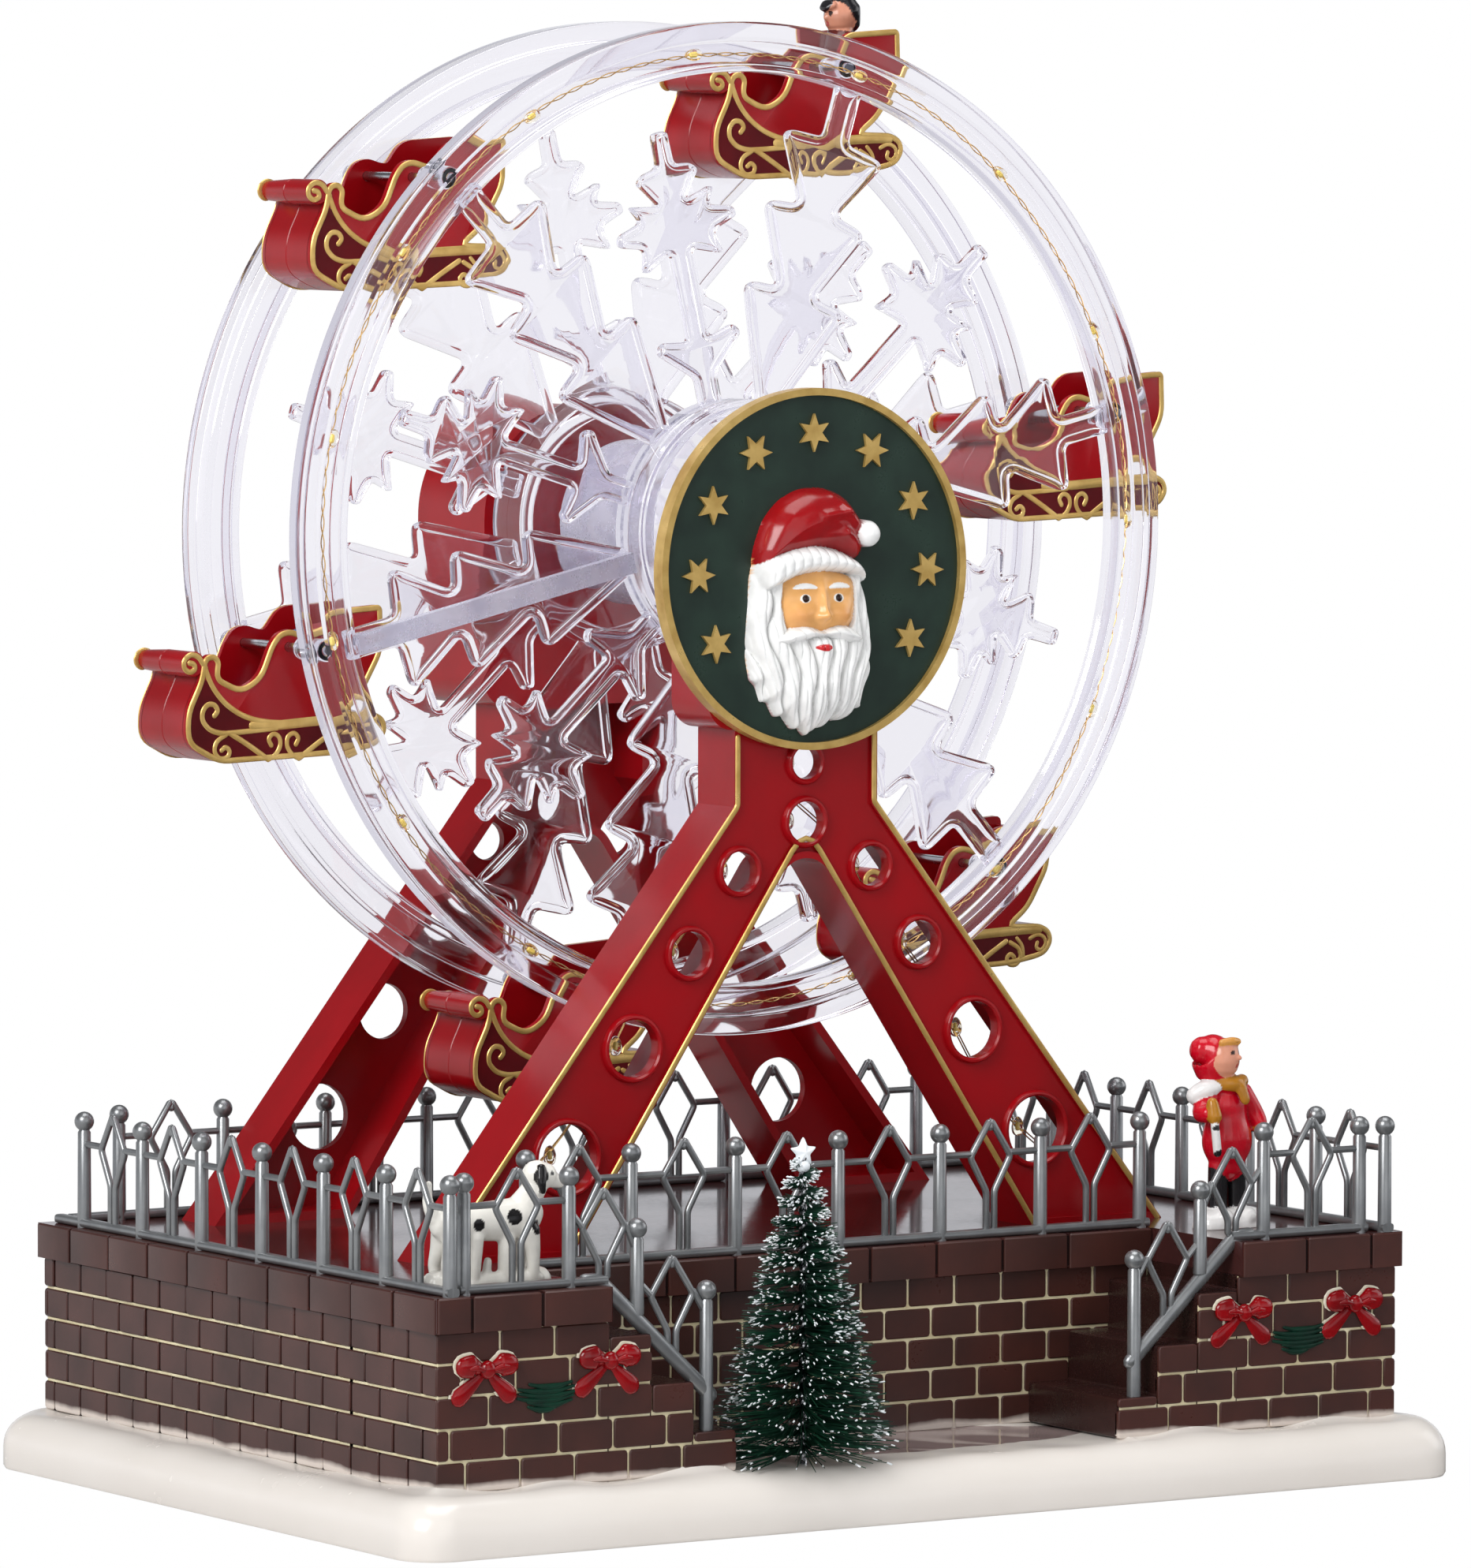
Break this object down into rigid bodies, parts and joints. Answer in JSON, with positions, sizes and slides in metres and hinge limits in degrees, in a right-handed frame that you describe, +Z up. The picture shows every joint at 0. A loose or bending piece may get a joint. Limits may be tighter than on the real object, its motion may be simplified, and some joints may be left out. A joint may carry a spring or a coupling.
{
  "type": "lighted ferris wheel ornament",
  "caption": "Lighted table-top Christmas ferris wheel: clear wheels turn on red A-frame towers and carry sleigh cars level above a fenced brick base with stairs and snow.",
  "frame": {"origin": "middle of the snow slab's underside, on the plane it stands on", "axes": "+Z up, +X to the right seen from the front, +Y from the front to the back; the sign faces -Y"},
  "size_m": [0.2702, 0.1912, 0.3286],
  "materials": {
    "snow": "glossy cast snow, warm white",
    "brick": "moulded brown brick with cream mortar lines",
    "deck": "dark brown, glossy",
    "red_plastic": "moulded red with gold painted beads",
    "nylon": "natural nylon",
    "screw_steel": "zinc plated",
    "motor_case": "pressed steel can",
    "axle_steel": "bright drawn rod",
    "clear_plastic": "polished clear acrylic",
    "frosted_plastic": "frosted clear",
    "lamp": "warm lamp beads on thin wire",
    "green_paint": "satin dark green",
    "gold_paint": "satin gold",
    "relief_paint": "hand painted white, red and skin tone",
    "wire": "twisted wire",
    "bristle": "dark green bristles with white tips",
    "figure_white": "painted resin, black spots",
    "figure_red": "painted resin",
    "figure_blue": "painted resin",
    "bow_red": "painted red",
    "garland_green": "painted green",
    "fence_paint": "metallic grey paint",
    "black_plastic": "black moulding",
    "cell_wrap": "plain cell sleeve"
  },
  "bodies": {
    "stand": {"battery_cells": "cell_wrap", "battery_contacts": "screw_steel", "battery_door": "snow", "battery_tray": "black_plastic", "bearing_plate_front": "red_plastic", "bows": "bow_red", "brick_plinth": "brick", "bush_rear": "nylon", "cover_screws": "screw_steel", "deck_coping": "deck", "dog": "figure_white", "door_screws": "screw_steel", "fence_court": "fence_paint", "fence_left": "fence_paint", "fence_rear": "fence_paint", "fence_right": "fence_paint", "fence_stair_left": "fence_paint", "fence_stair_right": "fence_paint", "figure": "figure_red", "garlands": "garland_green", "motor": "motor_case", "motor_cover": "red_plastic", "sign_disc": "green_paint", "sign_relief": "relief_paint", "sign_rim": "gold_paint", "sign_stars": "gold_paint", "snow_slab": "snow", "switch_body": "black_plastic", "tower_front": "red_plastic", "tower_lights": "lamp", "tower_rear": "red_plastic", "tree_bristles": "bristle", "tree_stem": "wire"},
    "wheel": {"axle": "axle_steel", "wheel_gear": "nylon", "wheel_front": "clear_plastic", "wheel_rear": "clear_plastic", "hub_drum": "clear_plastic", "sleigh_rods": "axle_steel", "wire_duct": "frosted_plastic", "rim_lights": "lamp"},
    "pinion": {"motor_pinion": "nylon"},
    "switch": {"switch_knob": "black_plastic"},
    "sleigh_1": {"sleigh_1_near": "red_plastic", "sleigh_1_far": "red_plastic"},
    "sleigh_2": {"sleigh_2_near": "red_plastic", "sleigh_2_far": "red_plastic", "rider_top": "figure_red"},
    "sleigh_3": {"sleigh_3_near": "red_plastic", "sleigh_3_far": "red_plastic"},
    "sleigh_4": {"sleigh_4_near": "red_plastic", "sleigh_4_far": "red_plastic", "rider_left": "figure_blue"},
    "sleigh_5": {"sleigh_5_near": "red_plastic", "sleigh_5_far": "red_plastic"},
    "sleigh_6": {"sleigh_6_near": "red_plastic", "sleigh_6_far": "red_plastic"}
  },
  "joints": [
    {"name": "wheel_spin", "type": "hinge", "parent": "stand", "child": "wheel", "pos_m": [0, 0.02, 0.2099], "axis": [0, 1, 0], "continuous": true},
    {"name": "pinion_spin", "type": "hinge", "parent": "stand", "child": "pinion", "pos_m": [0, 0.067, 0.1907], "axis": [0, 1, 0], "continuous": true},
    {"name": "switch_slide", "type": "slide", "parent": "stand", "child": "switch", "axis": [1, 0, 0], "range_m": [0, 0.004]},
    {"name": "sleigh_1_swing", "type": "hinge", "parent": "wheel", "child": "sleigh_1", "pos_m": [0.10377, 0.0245, 0.23386], "axis": [0, 1, 0], "continuous": true},
    {"name": "sleigh_2_swing", "type": "hinge", "parent": "wheel", "child": "sleigh_2", "pos_m": [0.03114, 0.0245, 0.31175], "axis": [0, 1, 0], "continuous": true},
    {"name": "sleigh_3_swing", "type": "hinge", "parent": "wheel", "child": "sleigh_3", "pos_m": [-0.07263, 0.0245, 0.28779], "axis": [0, 1, 0], "continuous": true},
    {"name": "sleigh_4_swing", "type": "hinge", "parent": "wheel", "child": "sleigh_4", "pos_m": [-0.10377, 0.0245, 0.18594], "axis": [0, 1, 0], "continuous": true},
    {"name": "sleigh_5_swing", "type": "hinge", "parent": "wheel", "child": "sleigh_5", "pos_m": [-0.03114, 0.0245, 0.10805], "axis": [0, 1, 0], "continuous": true},
    {"name": "sleigh_6_swing", "type": "hinge", "parent": "wheel", "child": "sleigh_6", "pos_m": [0.07263, 0.0245, 0.13201], "axis": [0, 1, 0], "continuous": true}
  ],
  "couplings": [
    {"joint": "pinion_spin", "follows": "wheel_spin", "ratio": -3},
    {"joint": "sleigh_1_swing", "follows": "wheel_spin", "ratio": -1},
    {"joint": "sleigh_2_swing", "follows": "wheel_spin", "ratio": -1},
    {"joint": "sleigh_3_swing", "follows": "wheel_spin", "ratio": -1},
    {"joint": "sleigh_4_swing", "follows": "wheel_spin", "ratio": -1},
    {"joint": "sleigh_5_swing", "follows": "wheel_spin", "ratio": -1},
    {"joint": "sleigh_6_swing", "follows": "wheel_spin", "ratio": -1}
  ]
}
